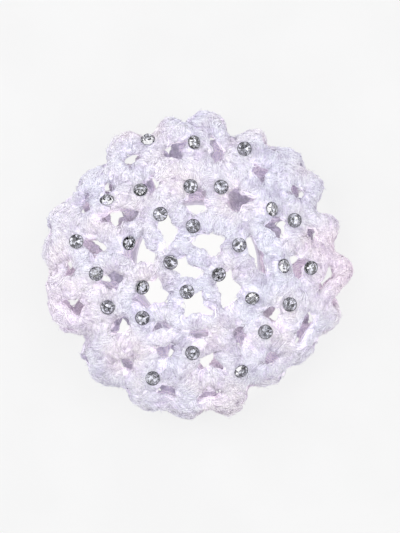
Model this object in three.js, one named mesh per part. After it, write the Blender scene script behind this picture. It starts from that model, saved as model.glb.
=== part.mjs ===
// A crocheted hair snood, the small round net that is drawn over a bun of hair.
// It lies on its mouth: a low bag of thick soft strands with open gaps between them,
// worked in rounds from the crown outwards, turned under at a scalloped edge and drawn
// in to a hem that holds a ring of elastic. Flat-backed cut crystals sit on the strands.
// Millimetres, +Z up, the origin on the floor under the middle of the bag.

import * as THREE from "three";

// Sizes of the bag, all to the middle of its wall
const EDGE_RADIUS = 48.1; // axis to the widest turn of the bag
const CROWN_HEIGHT = 20.5; // floor to the crown
const MOUTH_RADIUS = 21; // axis to the elastic
const WALL = 3.4; // full thickness of a strand
const FLOOR_START = 0.84; // where the bag comes down to the floor, a share of EDGE_RADIUS

// Shape of a strand and of the joins where strands meet
const JOIN_FULLNESS = 1.16; // thickness of a join, a share of WALL
const SPAN_FULLNESS = 0.92; // thickness half way between two joins, a share of WALL
const SHOULDER_LIFT = 0.86; // height of a strand half way down to its gap, a share of its own
const SHOULDER_SPREAD = 0.48; // where that shoulder lies between gap and strand's middle
const JOIN_REACH = 3; // joins nearer to each other than this are one join
const LONG_SPAN = 10.5; // a span longer than this gets two bends, a shorter one gets one
const GAP_CORNER = 1.1; // how far a gap reaches towards a join, a share of its plain size
const GAP_SIDE = 0.96; // and how far towards the middle of a span
const OPEN_MOST = 0.74; // a gap never takes more than this share of the way to a strand
const OPEN_LEAST = 0.2;

// Gathers and unevenness of the worn bag
const BILLOW = 0.9; // slow rise and fall of the top
const EDGE_LIFT = 10; // how much a drawn-in scallop rises, for each share it is drawn in
const GATHERS = 20; // folds of the underside round the hem
const GATHER_RISE = 1.5;
const SCALLOP_START = 0.72; // share of EDGE_RADIUS where the scallops begin to show

// Sizes of the hem and the elastic in it
const HEM_THICKNESS = 4.6;
const HEM_WIDTH = 4.2;
const ELASTIC_THICKNESS = 2.2;
const ELASTIC_TURN_STEPS = 40;
const ELASTIC_SIDES = 6;
const FIT_GAP = 0.3; // clearance between separate pieces

// Sizes of a crystal
const CRYSTAL_DIAMETER = 4.7;
const CRYSTAL_HEIGHT = 1.9;
const CRYSTAL_GIRDLE = 0.35; // straight side above the flat back
const CRYSTAL_TABLE_SHARE = 0.56; // table across its corners, of the diameter
const CRYSTAL_MAINS = 8; // corners of the table; the girdle has twice as many

// The bag's section from the crown to just under its widest turn: out is a share of
// EDGE_RADIUS and up a share of CROWN_HEIGHT.
const SECTION = [
  { out: 0.0, up: 1.0 },
  { out: 0.25, up: 0.985 },
  { out: 0.5, up: 0.94 },
  { out: 0.72, up: 0.86 },
  { out: 0.88, up: 0.74 },
  { out: 0.97, up: 0.58 },
  { out: 1.0, up: 0.41 },
  { out: 0.955, up: 0.21 },
];

// The scallops of the edge, anticlockwise from +X: turn in degrees, and out as a share
// of the plain edge's radius. The outline eases from one row to the next.
const SCALLOPS = [
  { turn: 0, out: 1.037 },
  { turn: 9, out: 0.94 },
  { turn: 18, out: 0.985 },
  { turn: 26.5, out: 0.905 },
  { turn: 33, out: 1.005 },
  { turn: 47, out: 1.015 },
  { turn: 58, out: 0.96 },
  { turn: 64.5, out: 1.01 },
  { turn: 74.5, out: 0.895 },
  { turn: 81, out: 1.03 },
  { turn: 87, out: 1.03 },
  { turn: 94, out: 1 },
  { turn: 101, out: 1.017 },
  { turn: 109, out: 0.92 },
  { turn: 117, out: 1.02 },
  { turn: 126, out: 1 },
  { turn: 132, out: 0.945 },
  { turn: 144, out: 0.967 },
  { turn: 153, out: 0.99 },
  { turn: 165, out: 1.055 },
  { turn: 176, out: 1.037 },
  { turn: 181, out: 0.985 },
  { turn: 187, out: 1.05 },
  { turn: 193, out: 1.01 },
  { turn: 204, out: 1.035 },
  { turn: 213, out: 0.86 },
  { turn: 219.5, out: 1 },
  { turn: 226, out: 1.03 },
  { turn: 237, out: 0.985 },
  { turn: 247, out: 1.02 },
  { turn: 267, out: 1.025 },
  { turn: 273, out: 0.985 },
  { turn: 282, out: 1.035 },
  { turn: 295, out: 0.92 },
  { turn: 306, out: 0.945 },
  { turn: 324, out: 0.965 },
  { turn: 339, out: 1.015 },
  { turn: 347, out: 0.98 },
];

// The gaps of the top, worked loosely by hand, round by round from the crown: turn in
// degrees and out as a share of EDGE_RADIUS give the middle of a gap, long and wide are
// its two sizes in millimetres, and lean is the angle of the long one to +X, in degrees.
const TOP_GAPS = [
  { turn: 197, out: 0.08, long: 9.2, wide: 5.6, lean: -30 },

  { turn: 62, out: 0.163, long: 9.6, wide: 6.3, lean: -15 },
  { turn: 130, out: 0.305, long: 9, wide: 5.5, lean: 80 },
  { turn: 166, out: 0.398, long: 9, wide: 8, lean: -38 },
  { turn: 212, out: 0.358, long: 10.2, wide: 8.4, lean: 8 },
  { turn: 267, out: 0.267, long: 8.4, wide: 7.6, lean: -80 },
  { turn: 322, out: 0.259, long: 10.6, wide: 6.8, lean: 84 },

  { turn: 91, out: 0.415, long: 7.4, wide: 6.4, lean: 60 },
  { turn: 58, out: 0.515, long: 9.5, wide: 5, lean: 25 },
  { turn: 26, out: 0.596, long: 6.4, wide: 5.6, lean: 70 },
  { turn: 11, out: 0.406, long: 9.8, wide: 3.6, lean: -66 },
  { turn: 0, out: 0.678, long: 6.4, wide: 4.8, lean: -50 },
  { turn: 327, out: 0.608, long: 7, wide: 3.2, lean: -5 },
  { turn: 301, out: 0.552, long: 5.2, wide: 3.6, lean: 80 },
  { turn: 272, out: 0.458, long: 4.4, wide: 3.4, lean: 0 },
  { turn: 240, out: 0.464, long: 4.4, wide: 3.2, lean: 0 },
  { turn: 250, out: 0.605, long: 5.6, wide: 4.4, lean: 40 },
  { turn: 219, out: 0.642, long: 6, wide: 5, lean: 60 },
  { turn: 190, out: 0.575, long: 7.2, wide: 5, lean: 15 },
  { turn: 170, out: 0.693, long: 6.3, wide: 4.8, lean: -10 },
  { turn: 148, out: 0.609, long: 9.5, wide: 5, lean: 12 },
  { turn: 119, out: 0.622, long: 5, wide: 3.6, lean: 70 },

  { turn: 151, out: 0.869, long: 5, wide: 3.4, lean: -70 },
  { turn: 139, out: 0.797, long: 5.5, wide: 3.6, lean: 85 },
  { turn: 122, out: 0.842, long: 4.6, wide: 4.2, lean: 0 },
  { turn: 101, out: 0.788, long: 9.6, wide: 4.5, lean: 28 },
  { turn: 80, out: 0.79, long: 7.4, wide: 3.8, lean: -75 },
  { turn: 56, out: 0.757, long: 6, wide: 3.8, lean: 80 },
  { turn: 36, out: 0.84, long: 4.4, wide: 3, lean: 0 },
  { turn: 15, out: 0.81, long: 4.4, wide: 3.8, lean: 20 },
  { turn: 355, out: 0.897, long: 6, wide: 4, lean: 75 },
  { turn: 329, out: 0.853, long: 8.2, wide: 4.4, lean: 68 },
  { turn: 309, out: 0.822, long: 7.8, wide: 4, lean: -35 },
  { turn: 277, out: 0.648, long: 6, wide: 5.2, lean: 85 },
  { turn: 275, out: 0.888, long: 4.8, wide: 3, lean: 25 },
  { turn: 257, out: 0.868, long: 5.2, wide: 3.6, lean: -40 },
  { turn: 235, out: 0.82, long: 7.4, wide: 2.8, lean: 75 },
  { turn: 198, out: 0.868, long: 6.4, wide: 4, lean: -5 },
  { turn: 182, out: 0.861, long: 4.4, wide: 3.2, lean: 80 },
];

// The gaps of the edge and the underside go round in even rounds: along is a share of
// the section's length from the crown to the hem, across and deep are the sizes of a gap
// in millimetres, round the bag and along the section.
const EVEN_ROUNDS = [
  { gaps: 20, first: 5, along: 0.655, across: 5.6, deep: 5.4 },
  { gaps: GATHERS, first: 14, along: 0.79, across: 5.2, deep: 5.6 },
  { gaps: GATHERS, first: 5, along: 0.915, across: 3.6, deep: 5.4 },
];

// The crystals: turn in degrees and out as a share of EDGE_RADIUS say where one sits,
// and its face leans from straight up by lean degrees towards the direction toward.
const CRYSTALS = [
  { turn: 111.4, out: 0.905, lean: 42, toward: 108 },
  { turn: 91.6, out: 0.826, lean: 32, toward: 25 },
  { turn: 67.8, out: 0.847, lean: 10, toward: 68 },
  { turn: 127, out: 0.629, lean: 26, toward: 95 },
  { turn: 94.8, out: 0.532, lean: 10, toward: 320 },
  { turn: 72.8, out: 0.549, lean: 3, toward: 73 },
  { turn: 144.3, out: 0.744, lean: 38, toward: 100 },
  { turn: 125.5, out: 0.423, lean: 8, toward: 300 },
  { turn: 95.5, out: 0.265, lean: 4, toward: 270 },
  { turn: 37, out: 0.626, lean: 34, toward: 8 },
  { turn: 24.8, out: 0.721, lean: 8, toward: 25 },
  { turn: 168.8, out: 0.827, lean: 8, toward: 169 },
  { turn: 161.8, out: 0.483, lean: 26, toward: 345 },
  { turn: 25.5, out: 0.316, lean: 6, toward: 200 },
  { turn: 173.1, out: 0.177, lean: 14, toward: 240 },
  { turn: 359.5, out: 0.58, lean: 38, toward: 2 },
  { turn: 358.8, out: 0.764, lean: 22, toward: 350 },
  { turn: 184.9, out: 0.678, lean: 6, toward: 185 },
  { turn: 337.5, out: 0.157, lean: 24, toward: 315 },
  { turn: 201.7, out: 0.397, lean: 22, toward: 330 },
  { turn: 249.1, out: 0.189, lean: 3, toward: 300 },
  { turn: 329.7, out: 0.429, lean: 36, toward: 272 },
  { turn: 337.1, out: 0.675, lean: 6, toward: 337 },
  { turn: 205.1, out: 0.661, lean: 6, toward: 205 },
  { turn: 224, out: 0.507, lean: 4, toward: 220 },
  { turn: 316.2, out: 0.646, lean: 6, toward: 316 },
  { turn: 267.5, out: 0.586, lean: 8, toward: 268 },
  { turn: 292.6, out: 0.767, lean: 24, toward: 300 },
  { turn: 248.6, out: 0.816, lean: 8, toward: 249 },
];

// Materials
const YARN = new THREE.MeshStandardMaterial({ color: 0xe3ddee, roughness: 0.85, metalness: 0 });
const ELASTIC = new THREE.MeshStandardMaterial({ color: 0xf1eff4, roughness: 0.6, metalness: 0 });
const CRYSTAL = new THREE.MeshStandardMaterial({
  color: 0xc9ccd6,
  roughness: 0.08,
  metalness: 0.9,
  flatShading: true,
});

const radians = THREE.MathUtils.degToRad;
const { clamp, lerp } = THREE.MathUtils;
const ease = (share) => THREE.MathUtils.smoothstep(share, 0, 1);

// The middle of the wall from the crown to the hem, in the plane of x (out) and z (up)
const HEM_START = MOUTH_RADIUS + HEM_WIDTH;
const meridian = new THREE.CatmullRomCurve3(
  [
    ...SECTION.map((row) => [row.out * EDGE_RADIUS, row.up * CROWN_HEIGHT]),
    [FLOOR_START * EDGE_RADIUS, WALL / 2],
    [(FLOOR_START * EDGE_RADIUS + HEM_START) / 2, WALL / 2],
    [HEM_START, WALL / 2],
  ].map(([out, up]) => new THREE.Vector3(out, 0, up)),
  false,
  "centripetal",
);
meridian.arcLengthDivisions = 800;
const LENGTH = meridian.getLength();

// The place and the outward normal at a share of the meridian's length
function sectionAt(along) {
  const point = meridian.getPointAt(along);
  const run = meridian.getTangentAt(along);
  return { out: point.x, up: point.z, normalOut: -run.z, normalUp: run.x };
}

const TRACE_STEPS = 240;
const TRACE = Array.from({ length: TRACE_STEPS + 1 }, (_, i) => sectionAt(i / TRACE_STEPS));
const WIDEST = TRACE.reduce((best, row, i) => (row.out > TRACE[best].out ? i : best), 0);

// Where along the meridian the top of the bag has this distance from the axis
function alongTop(out) {
  const after = Math.max(TRACE.findIndex((row, i) => row.out >= out || i === WIDEST), 1);
  const span = TRACE[after].out - TRACE[after - 1].out;
  return (after - 1 + clamp((out - TRACE[after - 1].out) / span, 0, 1)) / TRACE_STEPS;
}

// The edge's radius at a turn in radians, as a share of the plain edge's
function scallop(turn) {
  const degrees = THREE.MathUtils.euclideanModulo(THREE.MathUtils.radToDeg(turn), 360);
  const next = SCALLOPS.findIndex((row) => row.turn > degrees);
  const to = next < 0 ? { ...SCALLOPS[0], turn: 360 } : SCALLOPS[next];
  const from = SCALLOPS.at(next < 0 ? -1 : next - 1);
  return lerp(from.out, to.out, ease((degrees - from.turn) / (to.turn - from.turn)));
}

// A point of the fabric. The fabric is laid out flat as a disc whose radius runs from the
// crown to the hem; x and y are a point of that disc, and lift is the height over the
// middle of the wall as a share of half the wall, 1 outside and -1 inside.
function onFabric(x, y, lift) {
  const turn = Math.atan2(y, x);
  const along = Math.min(Math.hypot(x, y) / LENGTH, 1);
  const row = sectionAt(along);
  const plainOut = row.out + (row.normalOut * lift * WALL) / 2;
  const plainUp = row.up + (row.normalUp * lift * WALL) / 2;

  const reach = plainOut / EDGE_RADIUS;
  const atEdge = ease(clamp((reach - SCALLOP_START) / (1 - SCALLOP_START), 0, 1));
  const drawnIn = 1 - scallop(turn);
  const out = plainOut * (1 - atEdge * drawnIn);

  const overTop = ease(clamp((1 - reach) / 0.5, 0, 1));
  const billow = BILLOW * Math.sin(3 * turn + 0.6) * Math.sin(5 * reach) * overTop;
  const belly = clamp((out - HEM_START) / (FLOOR_START * EDGE_RADIUS - HEM_START), 0, 1);
  const fold = 0.5 - 0.5 * Math.cos(GATHERS * (turn - radians(EVEN_ROUNDS.at(-1).first)));
  const gather = GATHER_RISE * Math.sin(Math.PI * belly) * fold;
  const onTop = along * TRACE_STEPS < WIDEST;
  const rise = (onTop ? billow : gather) + atEdge * drawnIn * EDGE_LIFT;
  const up = Math.max(plainUp + rise, 0);
  return new THREE.Vector3(Math.cos(turn) * out, Math.sin(turn) * out, up);
}

// The gaps as places on the flat disc, each with its two half sizes as vectors there
function gapPlaces() {
  const top = TOP_GAPS.map((row) => {
    const reach = alongTop(row.out * EDGE_RADIUS) * LENGTH;
    const lean = radians(row.lean);
    return {
      middle: new THREE.Vector2(reach, 0).rotateAround(new THREE.Vector2(), radians(row.turn)),
      long: new THREE.Vector2(Math.cos(lean), Math.sin(lean)).multiplyScalar(row.long / 2),
      wide: new THREE.Vector2(-Math.sin(lean), Math.cos(lean)).multiplyScalar(row.wide / 2),
    };
  });
  const even = EVEN_ROUNDS.flatMap((row) =>
    Array.from({ length: row.gaps }, (_, i) => {
      const turn = radians(row.first + (360 * i) / row.gaps);
      const outward = new THREE.Vector2(Math.cos(turn), Math.sin(turn));
      const stretch = (row.along * LENGTH) / sectionAt(row.along).out;
      return {
        middle: outward.clone().multiplyScalar(row.along * LENGTH),
        long: outward.clone().multiplyScalar(row.deep / 2),
        wide: new THREE.Vector2(-outward.y, outward.x).multiplyScalar((row.across * stretch) / 2),
      };
    }),
  );
  return [...top, ...even];
}

// The part of a polygon where a point's dot product with normal is at most limit
function clipped(polygon, normal, limit) {
  return polygon.flatMap((point, i) => {
    const next = polygon[(i + 1) % polygon.length];
    const [here, there] = [point.dot(normal) - limit, next.dot(normal) - limit];
    const kept = here <= 0 ? [point] : [];
    if (here <= 0 === there <= 0) return kept;
    return [...kept, point.clone().lerp(next, here / (here - there))];
  });
}

// Laid flat, the hem is a ring of straight sides, one to each gap of the last round
const HEM_REACH = LENGTH * Math.cos(Math.PI / GATHERS);

// The share of the flat disc that belongs to each gap: strands run along the borders.
// A larger gap pushes its borders further away.
function cellsOf(gaps) {
  const weight = (gap) => gap.long.length() * gap.wide.length();
  return gaps.map((gap) => {
    const size = 4 * EDGE_RADIUS;
    let cell = [[-1, -1], [1, -1], [1, 1], [-1, 1]].map(
      ([x, y]) => new THREE.Vector2(x * size, y * size).add(gap.middle),
    );
    for (const other of gaps) {
      if (other === gap) continue;
      const normal = other.middle.clone().sub(gap.middle).multiplyScalar(2);
      const limit = other.middle.lengthSq() - weight(other) - gap.middle.lengthSq() + weight(gap);
      cell = clipped(cell, normal, limit);
    }
    for (let i = 0; i < GATHERS; i++) {
      const turn = radians(EVEN_ROUNDS.at(-1).first + (360 * i) / GATHERS);
      cell = clipped(cell, new THREE.Vector2(Math.cos(turn), Math.sin(turn)), HEM_REACH);
    }
    return cell;
  });
}

// The crocheted fabric, the whole net in one piece. Round each gap run four rings of
// points: the ridge and the shoulder of its strands outside, the rim of the gap, and the
// ridge inside. Neighbouring gaps share their ridges.
function crochetNet() {
  const points = [];
  const faces = [];
  const add = (point) => points.push(point) - 1;
  const quad = (a, b, c, d) => faces.push([a, b, c], [a, c, d]);

  const ridge = (x, y, fullness, onHem) => ({
    x,
    y,
    onHem,
    fullness,
    outer: add(onFabric(x, y, onHem ? 1 : fullness)),
    inner: add(onFabric(x, y, onHem ? -1 : -fullness)),
  });
  const joins = [];
  const joinAt = (point) => {
    const onHem = point.length() > HEM_REACH - JOIN_REACH / 10;
    const place = onHem ? point.clone().setLength(LENGTH) : point;
    const near = joins.find(
      (join) => join.onHem === onHem && Math.hypot(join.x - place.x, join.y - place.y) < JOIN_REACH,
    );
    if (near) return near;
    joins.push(ridge(place.x, place.y, JOIN_FULLNESS, onHem));
    return joins.at(-1);
  };
  const spans = new Map();
  const spanBetween = (from, to) => {
    const [low, high] = from.outer < to.outer ? [from, to] : [to, from];
    const key = `${low.outer} ${high.outer}`;
    if (!spans.has(key)) {
      const length = Math.hypot(high.x - low.x, high.y - low.y);
      const bends = length > LONG_SPAN ? 2 : 1;
      const onHem = low.onHem && high.onHem;
      const middles = Array.from({ length: bends }, (_, i) => {
        const share = (i + 1) / (bends + 1);
        const place = new THREE.Vector2(lerp(low.x, high.x, share), lerp(low.y, high.y, share));
        if (onHem) place.setLength(LENGTH);
        return ridge(place.x, place.y, SPAN_FULLNESS, onHem);
      });
      spans.set(key, middles);
    }
    const middles = spans.get(key);
    return low === from ? middles : [...middles].reverse();
  };

  const gaps = gapPlaces();
  const hemEdges = [];
  cellsOf(gaps).forEach((cell, i) => {
    const gap = gaps[i];
    const corners = cell.map(joinAt).filter((join, j, all) => join !== all.at(j - 1));
    const ring = corners.flatMap((join, j) => {
      const next = corners[(j + 1) % corners.length];
      const middles = spanBetween(join, next);
      return [{ ...join, isJoin: true }, ...middles];
    });
    const rounds = ring.map((point) => {
      const away = new THREE.Vector2(point.x, point.y).sub(gap.middle);
      const share = Math.hypot(
        away.dot(gap.long) / gap.long.lengthSq(),
        away.dot(gap.wide) / gap.wide.lengthSq(),
      );
      const open = clamp((point.isJoin ? GAP_CORNER : GAP_SIDE) / share, OPEN_LEAST, OPEN_MOST);
      const place = (part, lift) => {
        const spot = gap.middle.clone().addScaledVector(away, part);
        return add(onFabric(spot.x, spot.y, lift));
      };
      const shoulder = lerp(open, 1, SHOULDER_SPREAD);
      const lift = SHOULDER_LIFT * point.fullness;
      return [point.outer, place(shoulder, lift), place(open, 0), point.inner];
    });
    rounds.forEach((here, j) => {
      const next = rounds[(j + 1) % rounds.length];
      for (let k = 0; k + 1 < here.length; k++) quad(here[k], next[k], next[k + 1], here[k + 1]);
      const point = ring[j];
      const after = ring[(j + 1) % ring.length];
      if (point.onHem && after.onHem) hemEdges.push([point, after]);
    });
  });

  const groove = ELASTIC_THICKNESS / 2 + FIT_GAP;
  const middle = HEM_THICKNESS / 2;
  const hemSection = [
    [MOUTH_RADIUS + groove * 0.4, 0],
    [MOUTH_RADIUS, middle - groove * 0.98],
    [MOUTH_RADIUS + groove * 0.75, middle - groove * 0.85],
    [MOUTH_RADIUS + groove * 1.12, middle],
    [MOUTH_RADIUS + groove * 0.75, middle + groove * 0.85],
    [MOUTH_RADIUS, middle + groove * 0.98],
    [MOUTH_RADIUS + groove * 0.4, HEM_THICKNESS],
    [MOUTH_RADIUS + HEM_WIDTH * 0.7, HEM_THICKNESS],
  ];
  const columns = new Map();
  const columnAt = (point) => {
    if (!columns.has(point.outer)) {
      const turn = Math.atan2(point.y, point.x);
      const section = hemSection.map(([out, up]) =>
        add(new THREE.Vector3(Math.cos(turn) * out, Math.sin(turn) * out, up)),
      );
      columns.set(point.outer, [point.outer, ...section, point.inner]);
    }
    return columns.get(point.outer);
  };
  for (const [from, to] of hemEdges) {
    const [here, next] = [columnAt(from), columnAt(to)];
    for (let k = 0; k + 1 < here.length; k++) quad(next[k], here[k], here[k + 1], next[k + 1]);
  }

  const geometry = new THREE.BufferGeometry();
  const places = points.flatMap((point) => point.toArray());
  geometry.setAttribute("position", new THREE.Float32BufferAttribute(places, 3));
  geometry.setIndex(faces.flat());
  geometry.computeVertexNormals();
  const net = new THREE.Mesh(geometry, YARN);
  net.name = "crochet_net";
  return net;
}

// The ring of elastic in the groove of the hem
function rimElastic() {
  const ring = new THREE.Mesh(
    new THREE.TorusGeometry(MOUTH_RADIUS, ELASTIC_THICKNESS / 2, ELASTIC_SIDES, ELASTIC_TURN_STEPS),
    ELASTIC,
  );
  ring.position.z = HEM_THICKNESS / 2;
  ring.name = "rim_elastic";
  return ring;
}

// A flat-backed round crystal standing on z = 0: a table, a ring of crown facets round
// it, a thin girdle and a flat back
function crystalGeometry() {
  const tips = CRYSTAL_MAINS * 2;
  const radius = CRYSTAL_DIAMETER / 2;
  const ring = (count, size, height, first) =>
    Array.from({ length: count }, (_, i) => {
      const turn = ((i + first) / count) * Math.PI * 2;
      return [Math.cos(turn) * size, Math.sin(turn) * size, height];
    });
  const points = [
    ...ring(tips, radius, 0, 0),
    ...ring(tips, radius, CRYSTAL_GIRDLE, 0),
    ...ring(CRYSTAL_MAINS, radius * CRYSTAL_TABLE_SHARE, CRYSTAL_HEIGHT, 0.5),
  ];
  const faces = [];
  for (let i = 0; i < tips; i++) {
    const j = (i + 1) % tips;
    faces.push([i, j, tips + j], [i, tips + j, tips + i]);
    if (i > 1) faces.push([0, i, i - 1]);
  }
  for (let i = 0; i < CRYSTAL_MAINS; i++) {
    const here = 2 * tips + i;
    const before = 2 * tips + ((i + CRYSTAL_MAINS - 1) % CRYSTAL_MAINS);
    const [low, mid] = [tips + 2 * i, tips + 2 * i + 1];
    const high = tips + ((2 * i + 2) % tips);
    faces.push([low, mid, here], [mid, high, here], [before, low, here]);
    if (i > 1) faces.push([2 * tips, here - 1, here]);
  }
  const geometry = new THREE.BufferGeometry();
  geometry.setAttribute("position", new THREE.Float32BufferAttribute(points.flat(), 3));
  geometry.setIndex(faces.flat());
  return geometry;
}

// How far a crystal's back is from touching the net, looking down its axis from place
const SEAT_RINGS = [0, 0.55, 1];
const SEAT_PROBES = 14;
const PROBE_HEIGHT = 12;
function seatDepth(place, stand, net) {
  const down = new THREE.Vector3(0, 0, -1).applyQuaternion(stand);
  const probe = new THREE.Raycaster();
  let nearest = Infinity;
  for (const ring of SEAT_RINGS) {
    for (let i = 0; i < SEAT_PROBES; i++) {
      const around = (i / SEAT_PROBES) * Math.PI * 2;
      const out = (ring * CRYSTAL_DIAMETER) / 2;
      const start = new THREE.Vector3(Math.cos(around) * out, Math.sin(around) * out, PROBE_HEIGHT);
      probe.set(start.applyQuaternion(stand).add(place), down);
      const hit = probe.intersectObject(net)[0];
      if (hit) nearest = Math.min(nearest, hit.distance);
    }
  }
  return nearest - PROBE_HEIGHT;
}

// One crystal over its place in plan, lowered until it is a hair clear of the net
const SEAT_TRIES = 4;
function crystal(row, number, net) {
  const turn = radians(row.turn);
  const out = row.out * EDGE_RADIUS;
  const toward = radians(row.toward);
  const tilt = new THREE.Vector3(-Math.sin(toward), Math.cos(toward), 0);
  const stand = new THREE.Quaternion().setFromAxisAngle(tilt, radians(row.lean));
  const place = new THREE.Vector3(Math.cos(turn) * out, Math.sin(turn) * out, CROWN_HEIGHT);
  for (let i = 0; i < SEAT_TRIES; i++) {
    place.z -= (seatDepth(place, stand, net) - FIT_GAP) / Math.cos(radians(row.lean));
  }
  const mesh = new THREE.Mesh(crystalGeometry(), CRYSTAL);
  mesh.quaternion.copy(stand);
  mesh.position.copy(place);
  mesh.name = `crystal_${String(number).padStart(2, "0")}`;
  return mesh;
}

const snood = new THREE.Group();
const net = crochetNet();
snood.add(net, rimElastic());
CRYSTALS.forEach((row, i) => snood.add(crystal(row, i + 1, net)));
const middle = new THREE.Box3().setFromObject(snood).getCenter(new THREE.Vector3());
snood.position.set(-middle.x, -middle.y, 0);

export default snood;
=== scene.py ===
# %% [markdown]
# # A crocheted hair snood
#
# The real thing is a small net bag that is drawn over a bun of hair. It is crocheted
# from a soft, silky, white-lilac yarn, and small flat-backed crystals are stuck on it.
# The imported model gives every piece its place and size. This script dresses that model
# with yarn, fuzz, glass and foil, and puts it on a pale table under soft light.

import math
import random

import bmesh
import bpy
import numpy as np
from mathutils import Matrix, Vector
from mathutils.bvhtree import BVHTree
from mathutils.kdtree import KDTree


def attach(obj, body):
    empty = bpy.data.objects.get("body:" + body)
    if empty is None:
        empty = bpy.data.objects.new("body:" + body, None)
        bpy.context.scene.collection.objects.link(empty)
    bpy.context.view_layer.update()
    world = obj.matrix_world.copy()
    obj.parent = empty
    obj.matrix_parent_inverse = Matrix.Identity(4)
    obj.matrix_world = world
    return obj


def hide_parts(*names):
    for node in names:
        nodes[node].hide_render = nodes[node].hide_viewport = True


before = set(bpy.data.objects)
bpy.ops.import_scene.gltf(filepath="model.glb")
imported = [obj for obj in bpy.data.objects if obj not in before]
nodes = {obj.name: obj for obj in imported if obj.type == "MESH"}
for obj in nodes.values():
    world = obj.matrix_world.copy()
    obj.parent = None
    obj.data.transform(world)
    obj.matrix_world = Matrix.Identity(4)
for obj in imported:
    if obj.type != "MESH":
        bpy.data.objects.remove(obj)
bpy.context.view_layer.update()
MM = 0.001

# %% [markdown]
# ## Camera
#
# The snood is seen straight from above. A long lens far away keeps the sides of the net
# from leaning outwards, as a product photograph does. A camera that isn't turned looks
# down the Z axis with +Y at the top of the picture, so only its place has to be set.

# %% Camera
VIEW_HEIGHT = 0.1759
CAMERA_DISTANCE = 0.95
VIEW_CENTRE = (0.0010, -0.0005)
SENSOR_HEIGHT = 24

scene = bpy.context.scene
camera_data = bpy.data.cameras.new("camera")
camera_data.sensor_fit = "VERTICAL"
camera_data.sensor_height = SENSOR_HEIGHT
camera_data.lens = SENSOR_HEIGHT * CAMERA_DISTANCE / VIEW_HEIGHT
camera_data.clip_start = 0.05
camera = bpy.data.objects.new("camera", camera_data)
camera.location = (*VIEW_CENTRE, CAMERA_DISTANCE)
scene.collection.objects.link(camera)
scene.camera = camera
print("lens", round(camera_data.lens, 1), "mm")

# %% [markdown]
# ## The chart of the net
#
# The net is worked in rounds from the crown outwards. Laid flat it is a disc, and each
# gap has a place on it. The same chart as in the part's source is used here, because
# every stitch of yarn runs from a gap over a strand to the next gap. Millimetres.

# %% Sizes and tables of the chart
EDGE_RADIUS, CROWN_HEIGHT, MOUTH_RADIUS, WALL = 48.1, 20.5, 21.0, 3.4
HEM_WIDTH, GATHERS = 4.2, 20
HEM_START = MOUTH_RADIUS + HEM_WIDTH
FLOOR_REACH = 0.84 * EDGE_RADIUS
BAG_AXIS = np.array([0.01, -0.13])

# share of the edge's radius, share of the crown's height
SECTION = [
    (0.0, 1.0), (0.25, 0.985), (0.5, 0.94), (0.72, 0.86),
    (0.88, 0.74), (0.97, 0.58), (1.0, 0.41), (0.955, 0.21),
]
# turn, share of the edge's radius
SCALLOPS = [
    (0, 1.037), (9, 0.94), (18, 0.985), (26.5, 0.905), (33, 1.005), (47, 1.015),
    (58, 0.96), (64.5, 1.01), (74.5, 0.895), (81, 1.03), (87, 1.03), (94, 1),
    (101, 1.017), (109, 0.92), (117, 1.02), (126, 1), (132, 0.945), (144, 0.967),
    (153, 0.99), (165, 1.055), (176, 1.037), (181, 0.985), (187, 1.05), (193, 1.01),
    (204, 1.035), (213, 0.86), (219.5, 1), (226, 1.03), (237, 0.985), (247, 1.02),
    (267, 1.025), (273, 0.985), (282, 1.035), (295, 0.92), (306, 0.945),
    (324, 0.965), (339, 1.015), (347, 0.98),
]
# turn, out, long, wide, lean
TOP_GAPS = [
    (197, 0.08, 9.2, 5.6, -30),
    (62, 0.163, 9.6, 6.3, -15), (130, 0.305, 9, 5.5, 80), (166, 0.398, 9, 8, -38),
    (212, 0.358, 10.2, 8.4, 8), (267, 0.267, 8.4, 7.6, -80), (322, 0.259, 10.6, 6.8, 84),
    (91, 0.415, 7.4, 6.4, 60), (58, 0.515, 9.5, 5, 25), (26, 0.596, 6.4, 5.6, 70),
    (11, 0.406, 9.8, 3.6, -66), (0, 0.678, 6.4, 4.8, -50), (327, 0.608, 7, 3.2, -5),
    (301, 0.552, 5.2, 3.6, 80), (272, 0.458, 4.4, 3.4, 0), (240, 0.464, 4.4, 3.2, 0),
    (250, 0.605, 5.6, 4.4, 40), (219, 0.642, 6, 5, 60), (190, 0.575, 7.2, 5, 15),
    (170, 0.693, 6.3, 4.8, -10), (148, 0.609, 9.5, 5, 12), (119, 0.622, 5, 3.6, 70),
    (151, 0.869, 5, 3.4, -70), (139, 0.797, 5.5, 3.6, 85), (122, 0.842, 4.6, 4.2, 0),
    (101, 0.788, 9.6, 4.5, 28), (80, 0.79, 7.4, 3.8, -75), (56, 0.757, 6, 3.8, 80),
    (36, 0.84, 4.4, 3, 0), (15, 0.81, 4.4, 3.8, 20), (355, 0.897, 6, 4, 75),
    (329, 0.853, 8.2, 4.4, 68), (309, 0.822, 7.8, 4, -35), (277, 0.648, 6, 5.2, 85),
    (275, 0.888, 4.8, 3, 25), (257, 0.868, 5.2, 3.6, -40), (235, 0.82, 7.4, 2.8, 75),
    (198, 0.868, 6.4, 4, -5), (182, 0.861, 4.4, 3.2, 80),
]
# gaps, first turn, along, across, deep
EVEN_ROUNDS = [(20, 5, 0.655, 5.6, 5.4), (20, 14, 0.79, 5.2, 5.6), (20, 5, 0.915, 3.6, 5.4)]
print("gaps of the top", len(TOP_GAPS))
print("gaps of the even rounds", sum(row[0] for row in EVEN_ROUNDS))

# %% [markdown]
# ## From the chart to the bag
#
# A cut through the bag is one smooth curve from the crown over the edge to the hem. A
# point of the chart goes that far along the curve and then round the axis. The scallops
# of the edge, a soft billow of the crown and the gathers of the underside come on top.

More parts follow.
